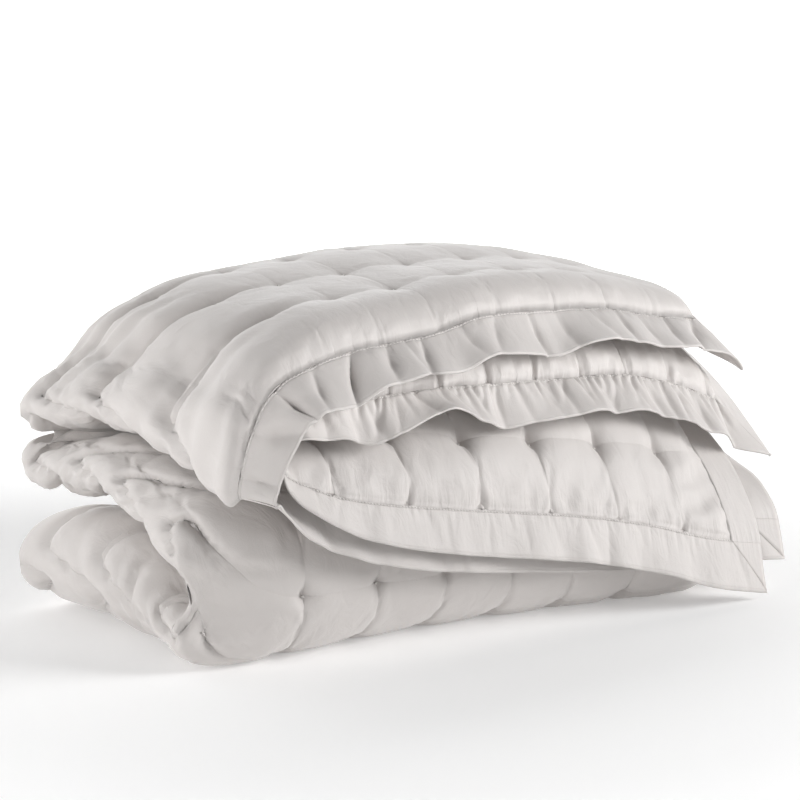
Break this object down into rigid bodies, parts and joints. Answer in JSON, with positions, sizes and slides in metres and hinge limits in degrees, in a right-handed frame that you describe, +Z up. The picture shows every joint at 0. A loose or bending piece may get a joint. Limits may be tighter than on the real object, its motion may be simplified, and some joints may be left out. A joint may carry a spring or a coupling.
{
  "type": "folded quilt",
  "caption": "Thick tufted quilt with a flat border, folded along its length, across its width and back and forth into a soft stack that rests flat.",
  "frame": {"origin": "middle of the folded quilt's box, on the surface that it rests on", "axes": "+X along the open front from the rolled fold to the side seams, +Y to the back folds, +Z up"},
  "size_m": [0.861, 0.5767, 0.4483],
  "materials": {
    "field_cloth": "fine plain weave with a soft sheen",
    "border_cloth": "fine plain weave with a soft sheen, stitched flat"
  },
  "bodies": {
    "root": {"quilt_body": "field_cloth", "end_border_outer": "border_cloth", "end_border_inner": "border_cloth", "side_border_upper": "border_cloth", "side_border_lower": "border_cloth"}
  },
  "joints": []
}
